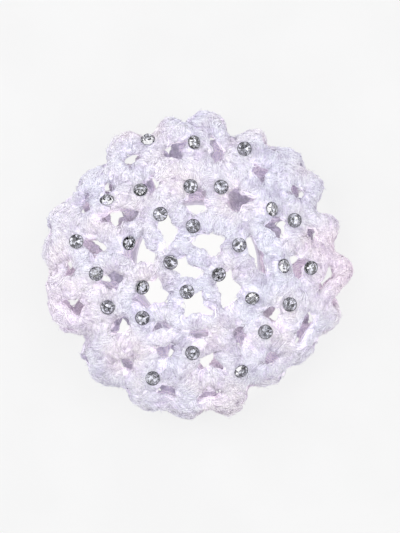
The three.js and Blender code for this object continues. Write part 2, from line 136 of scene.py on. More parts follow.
# %% The bag's section as a smooth curve
def smooth_curve(points, steps):
    """A smooth curve through all the points, its knots spaced by the root of the distances."""
    points = np.array(points, float)
    padded = np.vstack([2 * points[0] - points[1], points, 2 * points[-1] - points[-2]])
    out = []
    for i in range(len(points) - 1):
        p = padded[i:i + 4]
        roots = np.linalg.norm(np.diff(p, axis=0), axis=1) ** 0.5
        knots = np.concatenate([[0], np.cumsum(roots)])
        t = np.linspace(knots[1], knots[2], steps, endpoint=False)[:, None]
        level = [
            p[k] + (t - knots[k]) / (knots[k + 1] - knots[k]) * (p[k + 1] - p[k])
            for k in range(3)
        ]
        pair = [
            level[k] + (t - knots[k]) / (knots[k + 2] - knots[k]) * (level[k + 1] - level[k])
            for k in range(2)
        ]
        out.append(pair[0] + (t - knots[1]) / (knots[2] - knots[1]) * (pair[1] - pair[0]))
    return np.vstack(out + [points[-1:]])


CURVE_STEPS = 80
dome = [(out * EDGE_RADIUS, up * CROWN_HEIGHT) for out, up in SECTION]
floor_outs = (FLOOR_REACH, (FLOOR_REACH + HEM_START) / 2, HEM_START)
section = smooth_curve(dome + [(out, WALL / 2) for out in floor_outs], CURVE_STEPS)
reach = np.concatenate([[0], np.cumsum(np.linalg.norm(np.diff(section, axis=0), axis=1))])
LENGTH = reach[-1]
tangent = np.gradient(section, reach, axis=0)
tangent /= np.linalg.norm(tangent, axis=1)[:, None]
widest = int(np.argmax(section[:, 0]))
print("length from crown to hem", round(LENGTH, 1), "mm")

# %% From the flat chart to the bag
# where the edge's own shape starts, and over what share of the radius it comes in
EDGE_STARTS, EDGE_BLEND = 0.72, 0.28
# mm by which the crown billows, the gathers stand up and a drawn-in scallop rises
BILLOW, GATHER_RISE, SCALLOP_RISE = 0.9, 1.5, 10


def ease(share):
    """0 below 0, 1 above 1, and a smooth step between them."""
    share = np.clip(share, 0, 1)
    return share * share * (3 - 2 * share)


scallop_turns = np.array([turn for turn, _ in SCALLOPS] + [360.0])
scallop_outs = np.array([out for _, out in SCALLOPS] + [SCALLOPS[0][1]])


def scallop_share(turn):
    """How far out the edge stands at a turn, as a share of its radius."""
    degrees = np.degrees(turn) % 360
    row = np.clip(np.searchsorted(scallop_turns, degrees, side="right") - 1, 0, len(SCALLOPS) - 1)
    step = (degrees - scallop_turns[row]) / (scallop_turns[row + 1] - scallop_turns[row])
    return scallop_outs[row] + (scallop_outs[row + 1] - scallop_outs[row]) * ease(step)


def on_fabric(x, y, lift):
    """Points of the bag in millimetres for points of the chart; lift 1 is outside, -1 inside."""
    turn = np.arctan2(y, x)
    along = np.minimum(np.hypot(x, y), LENGTH)
    out, up = (np.interp(along, reach, section[:, k]) for k in (0, 1))
    run_out, run_up = (np.interp(along, reach, tangent[:, k]) for k in (0, 1))
    plain_out = out - run_up * lift * WALL / 2
    plain_up = up + run_out * lift * WALL / 2

    share = plain_out / EDGE_RADIUS
    at_edge = ease((share - EDGE_STARTS) / EDGE_BLEND)
    drawn_in = 1 - scallop_share(turn)
    far = plain_out * (1 - at_edge * drawn_in)

    # three soft waves round the crown, gone at the edge
    billow = BILLOW * np.sin(3 * turn + 0.6) * np.sin(5 * share) * ease((1 - share) / 0.5)
    belly = np.clip((far - HEM_START) / (FLOOR_REACH - HEM_START), 0, 1)
    fold = 0.5 - 0.5 * np.cos(GATHERS * (turn - math.radians(EVEN_ROUNDS[-1][1])))
    gather = GATHER_RISE * np.sin(np.pi * belly) * fold
    rise = np.where(along < reach[widest], billow, gather) + at_edge * drawn_in * SCALLOP_RISE
    high = np.maximum(plain_up + rise, 0)
    right, back = np.cos(turn) * far + BAG_AXIS[0], np.sin(turn) * far + BAG_AXIS[1]
    return np.stack([right, back, high], -1)


print("crown at", on_fabric(0.0, 0.0, 1).round(2), "hem at", on_fabric(LENGTH, 0.0, 0).round(2))

# %% The gaps on the chart
gaps = []
for turn, out, long, wide, lean in TOP_GAPS:
    along = np.interp(out * EDGE_RADIUS, section[:widest + 1, 0], reach[:widest + 1])
    turn, lean = math.radians(turn), math.radians(lean)
    middle = along * np.array([math.cos(turn), math.sin(turn)])
    gaps.append((middle, np.array([math.cos(lean), math.sin(lean)]), long / 2, wide / 2))
for count, first, along, across, deep in EVEN_ROUNDS:
    stretch = along * LENGTH / np.interp(along * LENGTH, reach, section[:, 0])
    for i in range(count):
        turn = math.radians(first + 360 * i / count)
        outward = np.array([math.cos(turn), math.sin(turn)])
        gaps.append((along * LENGTH * outward, outward, deep / 2, across * stretch / 2))
middles = np.array([gap[0] for gap in gaps])
weights = np.array([gap[2] * gap[3] for gap in gaps])
print("gaps", len(gaps))

# %% How wide each gap is and where its strands run
# how much a gap's rim grows, and its least and most share of the way to the ridge
RIM_GROWTH, RIM_LEAST, RIM_MOST = 1.02, 0.2, 0.74
# a distance for "no strand that way", and the least facing that still counts
NEVER, HARDLY = 1e9, 1e-6


def strand_and_rim(index, angles):
    """How far from a gap's middle its strands' ridge and its own rim lie, for each angle."""
    middle, axis, long, wide = gaps[index]
    ways = np.stack([np.cos(angles), np.sin(angles)], -1)
    others = np.delete(np.arange(len(gaps)), index)
    normals = 2 * (middles[others] - middle)
    limits = (middles[others] ** 2).sum(1) - weights[others]
    room = limits - (middle ** 2).sum() + weights[index] - normals @ middle
    facing = ways @ normals.T
    ridge = np.where(facing > HARDLY, room / np.maximum(facing, HARDLY), NEVER).min(1)
    to_hem = -(ways @ middle) + np.sqrt((ways @ middle) ** 2 - (middle ** 2).sum() + LENGTH ** 2)
    ridge = np.minimum(ridge, to_hem)
    share = np.hypot(ways @ axis / long, ways @ np.array([-axis[1], axis[0]]) / wide)
    rim = np.clip(RIM_GROWTH / share / ridge, RIM_LEAST, RIM_MOST) * ridge
    return ridge, rim


ridge, rim = strand_and_rim(0, np.linspace(0, 2 * np.pi, 8))
print("first gap: ridge at", ridge.round(1), "rim at", rim.round(1), "mm")

# %% [markdown]
# ## The body of the net
#
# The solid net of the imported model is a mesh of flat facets. Its copy is melted into a
# fine even skin with the voxel remesh and then smoothed, so strands and joins become
# round. The stitches come after that, because the remesh would wipe them out.

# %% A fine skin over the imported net
SKIN_STEP = 0.66 * MM


def apply_modifiers(mesh_object):
    """Applies the modifiers of an object, so that it has a plain mesh."""
    graph = bpy.context.evaluated_depsgraph_get()
    done = bpy.data.meshes.new_from_object(mesh_object.evaluated_get(graph))
    mesh_object.modifiers.clear()
    mesh_object.data = done


def shade_smooth(mesh):
    mesh.polygons.foreach_set("use_smooth", np.ones(len(mesh.polygons), bool))


net_mesh = nodes["crochet_net"].data.copy()
net_mesh.name = "net_body"
net_bm = bmesh.new()
net_bm.from_mesh(net_mesh)
bmesh.ops.remove_doubles(net_bm, verts=net_bm.verts, dist=0.01 * MM)
net_bm.to_mesh(net_mesh)
net_bm.free()
net_body = bpy.data.objects.new("net_body", net_mesh)
scene.collection.objects.link(net_body)

remesh = net_body.modifiers.new("skin", "REMESH")
remesh.mode = "VOXEL"
remesh.voxel_size = SKIN_STEP
remesh.use_smooth_shade = True
soften = net_body.modifiers.new("soften", "SMOOTH")
soften.factor = 0.5
soften.iterations = 8
apply_modifiers(net_body)
print("skin", len(net_body.data.polygons), "faces")

# %% [markdown]
# ## Which gap a point of the skin belongs to
#
# Sample points are laid over the whole chart. Each one knows how far it lies from its
# gap, and the direction in which the yarn crosses the strand there. A point of the skin
# looks up its nearest samples to learn the same. The gap of a real net has sharp corners
# and sides that bulge into it, so each sample also knows how far to move to shape that.

# %% Sample points of the chart
dice = np.random.default_rng(11)
SAMPLE_ANGLES = 96
# share of the way from the rim to the ridge, side of the fabric
LEVELS = [(1.0, 1.0), (0.7, 0.97), (0.4, 0.8), (0.15, 0.45), (0.0, 0.0),
          (0.15, -0.45), (0.4, -0.8), (0.7, -0.97), (1.0, -1.0)]
# how sharp the corners of a gap are, and how ragged its rim is
CORNER_PULL, NOTCHES = 1.8, 0.06
# least and most share of the way to the ridge that a shaped rim may take
CUSP_LEAST, CUSP_MOST = 0.15, 0.86
STEP_ACROSS = 0.5

sample_places, sample_moves, sample_across = [], [], []
for index, (middle, axis, long, wide) in enumerate(gaps):
    angles = np.linspace(0, 2 * np.pi, SAMPLE_ANGLES, endpoint=False)
    ways = np.stack([np.cos(angles), np.sin(angles)], -1)
    ridge, rim = strand_and_rim(index, angles)
    span = SAMPLE_ANGLES // 5
    around = sum(np.roll(ridge, k) for k in range(-span, span + 1)) / (2 * span + 1)
    ragged = 1 + NOTCHES * sum(np.sin(k * angles + dice.uniform(0, 6.28)) for k in (4, 7, 11))
    cusped = rim * ragged * (ridge / around) ** CORNER_PULL
    cusped = np.clip(cusped, CUSP_LEAST * ridge, CUSP_MOST * ridge)
    for share, lift in LEVELS:
        levels = np.full(SAMPLE_ANGLES, lift)
        far = rim + share * (ridge - rim)
        moved = cusped + share * (ridge - cusped)
        here, there, beyond = (
            on_fabric(*(middle[:, None] + ways.T * reach_out), levels)
            for reach_out in (far, moved, far + STEP_ACROSS)
        )
        across = beyond - here
        sample_places.append(here)
        sample_moves.append(there - here)
        sample_across.append(across / np.linalg.norm(across, axis=1)[:, None])
sample_places, sample_moves = np.vstack(sample_places), np.vstack(sample_moves)
sample_across = np.vstack(sample_across)


def point_finder(points):
    """Finds the nearest of many points quickly."""
    finder = KDTree(len(points))
    for i, point in enumerate(points):
        finder.insert(point, i)
    finder.balance()
    return finder


samples = point_finder(sample_places)
print("samples", len(sample_places))


# %% Reading and writing the points of a mesh
def read_points(mesh):
    flat = np.empty(len(mesh.vertices) * 3, np.float32)
    mesh.vertices.foreach_get("co", flat)
    return flat.reshape(-1, 3).astype(float) / MM


def read_normals(mesh):
    flat = np.empty(len(mesh.vertices) * 3, np.float32)
    mesh.vertex_normals.foreach_get("vector", flat)
    return flat.reshape(-1, 3).astype(float)


def write_points(mesh, points):
    mesh.vertices.foreach_set("co", (points * MM).astype(np.float32).ravel())
    mesh.update()


def smooth(mesh_object, factor, rounds):
    modifier = mesh_object.modifiers.new("smooth", "SMOOTH")
    modifier.factor = factor
    modifier.iterations = rounds
    apply_modifiers(mesh_object)


print("points of the skin", len(read_points(net_body.data)))

# %% Shape the corners of the gaps
skin_points = read_points(net_body.data)
moves = np.zeros_like(skin_points)
for i, point in enumerate(skin_points):
    near = samples.find_n(point, 4)
    moves[i] = np.mean([sample_moves[k] for _, k, _ in near], axis=0)
write_points(net_body.data, skin_points + moves)
smooth(net_body, 0.5, 2)
print("largest move", round(np.abs(moves).max(), 2), "mm")

# %% [markdown]
# ## The edge
#
# The outline of the real net is fuller than the strands of the outermost round alone,
# because the yarn of neighbouring loops closes up there. So the edge is pushed out where
# a gap would leave it short, and a little in where a strand stands out too far.

# %% Fill out the edge between its strands
# share of the lack that is filled up, mm by which the whole edge is drawn in
EDGE_FILL, EDGE_SHRINK = 0.7, 1.1
# radius and height in mm where the push starts, and over how many mm it comes in
PUSH_FROM, PUSH_BLEND = (36, 1), (9, 4)
# sectors of the edge, and how many on each side are compared with one
SECTORS, NEIGHBOURS = 120, 4

skin_points = read_points(net_body.data)
from_axis = skin_points[:, :2] - BAG_AXIS
turn = np.arctan2(from_axis[:, 1], from_axis[:, 0])
out = np.hypot(*from_axis.T)
share_at = scallop_share(turn)
sector = ((turn + np.pi) / (2 * np.pi) * SECTORS).astype(int) % SECTORS
farthest = np.zeros(SECTORS)
np.maximum.at(farthest, sector, out / share_at)
around = range(-NEIGHBOURS, NEIGHBOURS + 1)
fullest = np.max([np.roll(farthest, k) for k in around], axis=0)
short = sum(np.roll(fullest - farthest, k) for k in (-1, 0, 1)) / 3
sector_turns = (np.arange(SECTORS + 1) - 0.5) / SECTORS * 2 * np.pi - np.pi
lack = np.interp(turn, sector_turns, np.append(short, short[0])) * EDGE_FILL - EDGE_SHRINK
far_out = ease((out / share_at - PUSH_FROM[0]) / PUSH_BLEND[0])
near_edge = far_out * ease((skin_points[:, 2] - PUSH_FROM[1]) / PUSH_BLEND[1])
push = (lack * near_edge)[:, None] * from_axis / out[:, None]
skin_points[:, :2] += push
write_points(net_body.data, skin_points)
print("edge filled by up to", round(short.max() * EDGE_FILL, 2), "mm")

# %% [markdown]
# ## Stitches
#
# A strand is covered with stitches, and each stitch is a small cushion of soft yarn.
# Points are strewn over the skin at least a stitch apart, and each one becomes the
# middle of a stitch that lies across its strand. The skin rises to a puff over each
# middle, and sinks to a pinch where two stitches meet.

# %% Strew the stitches
STITCH_ACROSS, STITCH_ALONG = 2.15, 1.5
# least distance of two stitches, their turn out of line in radians, and their sizes
SPACING, SWING, SMALLEST, LARGEST = 1.3, 0.38, 0.75, 1.3

skin_points, skin_normals = read_points(net_body.data), read_normals(net_body.data)
order = dice.permutation(len(skin_points))
cell_size = SPACING * STITCH_ACROSS
taken = {}
stitch_at = []
for i in order:
    point = skin_points[i]
    key = tuple((point // cell_size).astype(int))
    near = [
        other
        for dx in (-1, 0, 1) for dy in (-1, 0, 1) for dz in (-1, 0, 1)
        for other in taken.get((key[0] + dx, key[1] + dy, key[2] + dz), ())
    ]
    if near:
        gap = skin_points[near] - point
        across = sample_across[samples.find(point)[1]]
        run = gap @ across
        aside = np.sqrt(np.maximum((gap ** 2).sum(1) - run ** 2, 0))
        apart = (run / STITCH_ACROSS / SPACING) ** 2 + (aside / STITCH_ALONG / SPACING) ** 2
        if np.any(apart < 1):
            continue
    taken.setdefault(key, []).append(i)
    stitch_at.append(i)
stitch_middle = skin_points[stitch_at]
stitch_normal = skin_normals[stitch_at]
stitch_across = sample_across[[samples.find(point)[1] for point in stitch_middle]]
stitch_across -= (stitch_across * stitch_normal).sum(1)[:, None] * stitch_normal
stitch_across /= np.linalg.norm(stitch_across, axis=1)[:, None]
swing = dice.normal(0, SWING, len(stitch_at))[:, None]
aside = np.cross(stitch_normal, stitch_across)
stitch_across = np.cos(swing) * stitch_across + np.sin(swing) * aside
stitch_aside = np.cross(stitch_normal, stitch_across)
stitch_size = dice.uniform(SMALLEST, LARGEST, len(stitch_at))
print("stitches", len(stitch_at))

# %% Puffs on the skin
PUFF, NEAR_STITCHES = 1.05, 7
# how far a cushion's dome and the pinch between two cushions reach, in stitches
DOME_REACH, PINCH_REACH = 1.25, 0.55
# shares of the dome and the pinch in the height, and what is taken off again
DOME, PINCH, SUNK = 0.55, 0.45, 0.62
LOWEST_SKIN = 0.2

stitch_finder = point_finder(stitch_middle)
rises = np.zeros(len(skin_points))
for i, point in enumerate(skin_points):
    near = [k for _, k, _ in stitch_finder.find_n(point, NEAR_STITCHES)]
    gap = point - stitch_middle[near]
    run = (gap * stitch_across[near]).sum(1) / STITCH_ACROSS
    side = (gap * stitch_aside[near]).sum(1) / STITCH_ALONG
    rise = (gap * stitch_normal[near]).sum(1) / STITCH_ALONG
    far = np.sort(np.sqrt(run ** 2 + side ** 2 + rise ** 2) / stitch_size[near])
    pinch = min((far[1] - far[0]) / PINCH_REACH, 1)
    dome = math.sqrt(max(1 - (far[0] / DOME_REACH) ** 2, 0))
    rises[i] = PUFF * (dome * DOME + PINCH * pinch * (2 - pinch) - SUNK)
skin_points = skin_points + skin_normals * rises[:, None]
skin_points[:, 2] = np.maximum(skin_points[:, 2], LOWEST_SKIN)
write_points(net_body.data, skin_points)
smooth(net_body, 0.4, 1)
shade_smooth(net_body.data)
skin_points, skin_normals = read_points(net_body.data), read_normals(net_body.data)
print("skin reaches", skin_points.min(0).round(2), skin_points.max(0).round(2))

# %% [markdown]
# ## Seats of the crystals
#
# A crystal that is stuck on soft yarn sinks in a little, and the yarn rises round it.
# So the skin is drawn up to the back of each crystal, and pushed down where it would
# stick into the glass.

# %% Find the backs of the crystals
def flat_back(mesh):
    """The middle and outward direction of a crystal's back, its largest flat side."""
    sides = {}
    for face in mesh.polygons:
        key = tuple(round(v, 2) for v in face.normal)
        sides.setdefault(key, []).append(face)
    back = max(sides.values(), key=lambda faces: sum(face.area for face in faces))
    places = {tuple(mesh.vertices[v].co) for face in back for v in face.vertices}
    middle = sum((Vector(place) for place in places), Vector()) / len(places)
    return middle, back[0].normal.copy()


stones = sorted(name for name in nodes if name.startswith("crystal_"))
backs = {name: flat_back(nodes[name].data) for name in stones}
print("crystals", len(backs))

# %% Fit the skin to them
# how deep a crystal sits, and how far round it the skin is drawn up or pressed down
SEAT_DEPTH, SEAT_REACH, SEAT_BLEND = 0.38, 3.9, 1.8
PRESS_REACH, PRESS_BLEND = 3.1, 0.6
MOST_DRAWN_UP, MOST_PRESSED_DOWN = 2.4, 2.5
# heights in mm from the back of a crystal between which the skin belongs to its seat
DEEPEST, HIGHEST = -4.5, 3
FACING_UP = 0.4

for middle, outward in backs.values():
    centre, up = np.array(middle) / MM, -np.array(outward)
    offset = skin_points - centre
    height = offset @ up
    aside = np.linalg.norm(offset - height[:, None] * up, axis=1)
    facing = ease((skin_normals @ up) / FACING_UP)
    draw_up = np.clip(-SEAT_DEPTH - height, 0, MOST_DRAWN_UP)
    draw_up = draw_up * ease((SEAT_REACH - aside) / SEAT_BLEND) * (height > DEEPEST)
    push_down = np.clip(height + SEAT_DEPTH, 0, MOST_PRESSED_DOWN)
    push_down = push_down * ease((PRESS_REACH - aside) / PRESS_BLEND) * (height < HIGHEST)
    skin_points += ((draw_up * facing - push_down) * (aside < SEAT_REACH))[:, None] * up
write_points(net_body.data, skin_points)
skin_points, skin_normals = read_points(net_body.data), read_normals(net_body.data)
print("skin reaches", skin_points.min(0).round(2), skin_points.max(0).round(2))

# %% [markdown]
# ## Threads of the stitches
#
# The fine threads of a stitch lie side by side across the strand, and they come
# together where the stitch is pulled tight at its two ends. Each thread is a spline
# with a thickness, laid on the skin by looking up the nearest point of it. Many splines
# share one curve object, which is made a mesh at the end. A thread that would hang over a
# gap is left out.

# %% Helpers for threads
skin_tree = BVHTree.FromObject(net_body, bpy.context.evaluated_depsgraph_get())


def tube_profile(name, sides):
    """A small closed polygon that a curve drags along its splines."""
    shape = bpy.data.curves.new(name, "CURVE")
    shape.dimensions = "2D"
    spline = shape.splines.new("POLY")
    spline.points.add(sides - 1)
    for i, point in enumerate(spline.points):
        turn = 2 * math.pi * i / sides
        point.co = (math.cos(turn) * MM, math.sin(turn) * MM, 0, 1)
    spline.use_cyclic_u = True
    holder = bpy.data.objects.new(name, shape)
    scene.collection.objects.link(holder)
    return holder


def threads_mesh(name, paths, sides):
    """One mesh of many thin closed threads. A path is points in mm and radii in mm."""
    profile = tube_profile(name + "_profile", sides)
    curve = bpy.data.curves.new(name, "CURVE")
    curve.dimensions = "3D"
    curve.bevel_mode = "OBJECT"
    curve.bevel_object = profile
    curve.use_fill_caps = True
    curve.twist_mode = "MINIMUM"
    for points, radii in paths:
        spline = curve.splines.new("POLY")
        spline.points.add(len(points) - 1)
        flat = np.hstack([np.asarray(points) * MM, np.ones((len(points), 1))])
        spline.points.foreach_set("co", flat.astype(np.float32).ravel())
        spline.points.foreach_set("radius", np.asarray(radii, np.float32))
    maker = bpy.data.objects.new(name + "_curve", curve)
    scene.collection.objects.link(maker)
    graph = bpy.context.evaluated_depsgraph_get()
    mesh = bpy.data.meshes.new_from_object(maker.evaluated_get(graph))
    bpy.data.objects.remove(maker)
    bpy.data.objects.remove(profile)
    piece = bpy.data.objects.new(name, mesh)
    mesh.name = name
    scene.collection.objects.link(piece)
    piece_bm = bmesh.new()
    piece_bm.from_mesh(mesh)
    bmesh.ops.remove_doubles(piece_bm, verts=piece_bm.verts, dist=1e-8)
    bmesh.ops.recalc_face_normals(piece_bm, faces=piece_bm.faces)
    piece_bm.to_mesh(mesh)
    piece_bm.free()
    shade_smooth(mesh)
    mesh.calc_loop_triangles()
    print(name, len(paths), "threads", len(mesh.loop_triangles), "triangles")
    return piece


def laid_on(points, depth):
    """Points in mm moved onto the skin, depth mm above it."""
    out = []
    for point, above in zip(points, depth):
        place, normal, _, _ = skin_tree.find_nearest(Vector(point) * MM)
        out.append(np.array(place) / MM + np.array(normal) * above)
    return np.array(out)


# %% Lay the threads of every stitch
THREAD_RADIUS, LONGEST_STEP = 0.19, 2.1
CURL_ASIDE, CURL_UP = 0.08, 0.06
# the bundle of threads against the stitch it belongs to, and how it narrows at its ends
BUNDLE_LENGTH, BUNDLE_WIDTH, NARROWING = 1.3, 0.95, 1.15
BEND, ASTRAY, SHIFT = 0.35, 0.35, 0.3
# least and most of a thread's length, its thickness and its height, as shares or in mm
LENGTHS, THICKNESSES, LIFTS = (0.75, 1.15), (0.7, 1.35), (-0.04, 0.12)


def stitch_threads(k, count, bends):
    """The threads of one stitch, from one end of it to the other."""
    paths = []
    share = np.linspace(-1, 1, bends)
    length = STITCH_ACROSS * stitch_size[k] * BUNDLE_LENGTH
    width = STITCH_ALONG * stitch_size[k] * BUNDLE_WIDTH
    bend = dice.normal(0, BEND)
    for j in range(count):
        side = (j + 0.5 + dice.uniform(-ASTRAY, ASTRAY)) / count * 2 - 1
        run = share * length * dice.uniform(*LENGTHS) + dice.uniform(-SHIFT, SHIFT)
        spread = width * side * np.cos(share * NARROWING) + bend * share ** 2
        spread = spread + dice.normal(0, CURL_ASIDE, bends)
        plan = stitch_middle[k] + run[:, None] * stitch_across[k]
        plan = plan + spread[:, None] * stitch_aside[k]
        radius = THREAD_RADIUS * dice.uniform(*THICKNESSES)
        arch = (1 - 1.9 * np.abs(share) ** 4) * radius * 0.6
        height = arch + dice.uniform(*LIFTS)
        points = laid_on(plan, height + dice.normal(0, CURL_UP, bends))
        points[:, 2] = np.maximum(points[:, 2], radius * 1.05)
        if np.linalg.norm(np.diff(points, axis=0), axis=1).max() < LONGEST_STEP:
            paths.append((points, radius * (1 - 0.55 * np.abs(share) ** 3)))
    return paths


# radii in mm at which the crown and the shoulder end, and heights inside the bag
CROWN_END, SHOULDER_END, MID_HEIGHT, UNDERSIDE_END = 31, 42, 9, 6
FACING_DOWN = -0.3

outward = (stitch_normal * (stitch_middle - [0, 0, MID_HEIGHT])).sum(1) > 0
under = (stitch_normal[:, 2] < FACING_DOWN) & (stitch_middle[:, 2] < UNDERSIDE_END)
on_top = outward & ~under
radius_out = np.hypot(*(stitch_middle - [*BAG_AXIS, 0]).T[:2])
past_crown, past_shoulder = radius_out >= CROWN_END, radius_out >= SHOULDER_END
# stitches, threads in each, points on a thread
groups = {
    "crown_threads": (on_top & ~past_crown, 8, 7),
    "shoulder_threads": (on_top & past_crown & ~past_shoulder, 8, 7),
    "edge_threads": (on_top & past_shoulder, 8, 7),
    "underside_threads": (under, 5, 6),
    "inside_threads": (~outward & ~under, 4, 5),
}
threads = []
for name, (chosen, count, bends) in groups.items():
    paths = [path for k in np.flatnonzero(chosen) for path in stitch_threads(k, count, bends)]
    print(name, chosen.sum(), "stitches")
    threads.append(threads_mesh(name, paths, 3))

# %% [markdown]
# ## Fuzz
#
# Soft yarn has loose fibre ends that stand off it. They blur its outline and give it its
# silky grain. Each fibre is a thin bent thread that starts in the skin at a random place.

# %% Loose fibres
FIBRES = 11000
SHORTEST, LONGEST = 0.9, 2.4
# how far a fibre strays from the run of the yarn, and how far it stands off the skin
STRAY, STAND, STAND_SPREAD = 0.75, 0.28, 0.22
FIBRE_RADII = np.array([0.09, 0.075, 0.03])
ROOT, LOWEST_FIBRE = 0.05, 0.14
# fibres start where the skin faces up or sideways, or is this low
SEEN_SLOPE, SEEN_HEIGHT = -0.35, 5


def fibre(i):
    """A fibre from a point of the skin: its three points and their radii in mm."""
    start, normal = skin_points[i], skin_normals[i]
    across = sample_across[samples.find(start)[1]]
    lay = across + dice.normal(0, STRAY, 3)
    lay -= (lay @ normal) * normal
    lay /= np.linalg.norm(lay)
    length = dice.uniform(SHORTEST, LONGEST)
    stand = abs(dice.normal(STAND, STAND_SPREAD))
    points = np.array([
        start - normal * ROOT,
        start + lay * length * 0.5 + normal * stand * 0.9,
        start + lay * length + normal * stand * dice.uniform(0.2, 1.6),
    ])
    points[:, 2] = np.maximum(points[:, 2], LOWEST_FIBRE)
    return points, FIBRE_RADII * dice.uniform(0.8, 1.3)


facing_up, low = skin_normals[:, 2] > SEEN_SLOPE, skin_points[:, 2] < SEEN_HEIGHT
seen = np.flatnonzero(facing_up | low)
paths = [fibre(i) for i in dice.choice(seen, FIBRES, replace=False)]
threads.append(threads_mesh("loose_fibres", paths, 3))

# %% [markdown]
# ## Yarn
#
# The yarn is a silky microfibre. Its colour shifts softly between white, cool lilac and
# a faint pink, and it takes a soft light on its edges from the standing fibres, which
# is what the sheen of the shader is for. A fine noise stands for the fibres themselves.
# One recipe makes three yarns: that of the threads outside, a plainer one inside the bag
# and a darker one for the skin between the threads. The inside yarn is a lit copy, paler
# and pinker, and the skin's yarn a shaded copy, whose mauve tint and stronger grain are
# painted shade of the depth. Each has a painted glow, an emission that stands in for the
# light a fluffy yarn lets through, and the inside most of all, where it also takes away
# the shade in the bag. Soft patches of painted shade a few mm across lie over all three.

# %% Helpers for node materials
def node_material(name):
    """A material, its node tree and its shader."""
    material = bpy.data.materials.new(name)
    material.use_nodes = True
    tree = material.node_tree
    return material, tree, tree.nodes["Principled BSDF"]


def noise(tree, scale, detail=3, rough=0.5):
    """The value of a noise that stays in place on the piece."""
    where = tree.nodes.new("ShaderNodeTexCoord")
    texture = tree.nodes.new("ShaderNodeTexNoise")
    texture.inputs["Scale"].default_value = scale
    texture.inputs["Detail"].default_value = detail
    texture.inputs["Roughness"].default_value = rough
    tree.links.new(where.outputs["Object"], texture.inputs["Vector"])
    return texture.outputs["Fac"]


def ramp(tree, factor, stops):
    """Colours for the values of a factor. A stop is a value and its colour."""
    node = tree.nodes.new("ShaderNodeValToRGB")
    while len(node.color_ramp.elements) < len(stops):
        node.color_ramp.elements.new(0.5)
    for element, (place, colour) in zip(node.color_ramp.elements, stops):
        element.position = place
        element.color = (*colour, 1)
    tree.links.new(factor, node.inputs["Fac"])
    return node.outputs["Color"]


def mixed(tree, factor, first, second, blend="MIX"):
    """Two colours in one. A factor or a colour is a plain value or a socket."""
    node = tree.nodes.new("ShaderNodeMix")
    node.data_type = "RGBA"
    node.blend_type = blend
    if isinstance(factor, float):
        node.inputs["Factor"].default_value = factor
    else:
        tree.links.new(factor, node.inputs["Factor"])
    for socket, value in (("A", first), ("B", second)):
        target = [s for s in node.inputs if s.name == socket and s.type == "RGBA"][0]
        if isinstance(value, tuple):
            target.default_value = (*value, 1)
        else:
            tree.links.new(value, target)
    return [s for s in node.outputs if s.type == "RGBA"][0]


def bump(tree, shader, layers):
    """Stacks bump layers of (height socket, strength, distance in mm) on a shader."""
    before = None
    for height, strength, distance in layers:
        node = tree.nodes.new("ShaderNodeBump")
        node.inputs["Strength"].default_value = strength
        node.inputs["Distance"].default_value = distance * MM
        tree.links.new(height, node.inputs["Height"])
        if before:
            tree.links.new(before, node.inputs["Normal"])
        before = node.outputs["Normal"]
    tree.links.new(before, shader.inputs["Normal"])


# %% The yarn's material, with two places that have taken a pink tone
# place, radius in mm, strength, tone
PINK_SPOTS = [
    ((48, 0, 9), 20, 0.6, (0.97, 0.83, 0.90)),
    ((-44, -16, 9), 17, 0.45, (0.96, 0.84, 0.92)),
]


def spot(tree, place, radius):
    """1 at a place in mm, falling to 0 at radius mm from it."""
    where = tree.nodes.new("ShaderNodeTexCoord")
    mapping = tree.nodes.new("ShaderNodeMapping")
    mapping.vector_type = "TEXTURE"
    mapping.inputs["Location"].default_value = [v * MM for v in place]
    mapping.inputs["Scale"].default_value = [radius * MM] * 3
    sphere = tree.nodes.new("ShaderNodeTexGradient")
    sphere.gradient_type = "SPHERICAL"
    tree.links.new(where.outputs["Object"], mapping.inputs["Vector"])
    tree.links.new(mapping.outputs["Vector"], sphere.inputs["Vector"])
    return sphere.outputs["Fac"]


def yarn_material(name, tint, grain, unlike, painted_glow):
    """The yarn in a tint, with a strength for its grain, its unlike threads and its painted glow,
    an emission that stands in for light let through the yarn.
    """
    material, tree, shader = node_material(name)
    colour = ramp(tree, noise(tree, 60, 2), [
        (0.36, (0.90, 0.915, 0.99)), (0.52, (0.945, 0.935, 0.985)),
        (0.66, (0.98, 0.935, 0.96)),
    ])
    colour = mixed(tree, 1.0, colour, tint, "MULTIPLY")
    for place, radius, strength, tone in PINK_SPOTS:
        stops = [(0.0, (0, 0, 0)), (0.55, (strength, strength, strength))]
        pink = ramp(tree, spot(tree, place, radius), stops)
        colour = mixed(tree, pink, colour, tone)
    # painted shade: soft mauve-grey patches about 5 mm across that darken the yarn
    stops = [(0.36, (0.82, 0.79, 0.85)), (0.52, (1, 1, 1))]
    shadow = ramp(tree, noise(tree, 210, 3, 0.6), stops)
    colour = mixed(tree, 1.0, colour, shadow, "MULTIPLY")
    stops = [(0.38, (0.60, 0.57, 0.69)), (0.54, (1, 1, 1))]
    fleck = ramp(tree, noise(tree, 1700, 4, 0.75), stops)
    colour = mixed(tree, grain, colour, fleck, "MULTIPLY")
    if unlike:
        each_thread = tree.nodes.new("ShaderNodeNewGeometry").outputs["Random Per Island"]
        shade = ramp(tree, each_thread, [
            (0.0, (0.64, 0.61, 0.72)), (0.28, (0.90, 0.88, 0.93)), (0.6, (1, 1, 1)),
        ])
        colour = mixed(tree, unlike, colour, shade, "MULTIPLY")
    tree.links.new(colour, shader.inputs["Base Color"])
    shader.inputs["Roughness"].default_value = 0.55
    shader.inputs["Sheen Weight"].default_value = 0.28
    shader.inputs["Sheen Roughness"].default_value = 0.35
    shader.inputs["Specular IOR Level"].default_value = 0.3
    # painted glow: a faint pink emission that stands in for light let through the yarn
    shader.inputs["Emission Color"].default_value = (1.0, 0.88, 0.98, 1)
    shader.inputs["Emission Strength"].default_value = painted_glow
    bump(tree, shader, [(noise(tree, 2600, 3, 0.6), 0.6, 0.15), (noise(tree, 900, 3), 0.6, 0.3)])
    return material
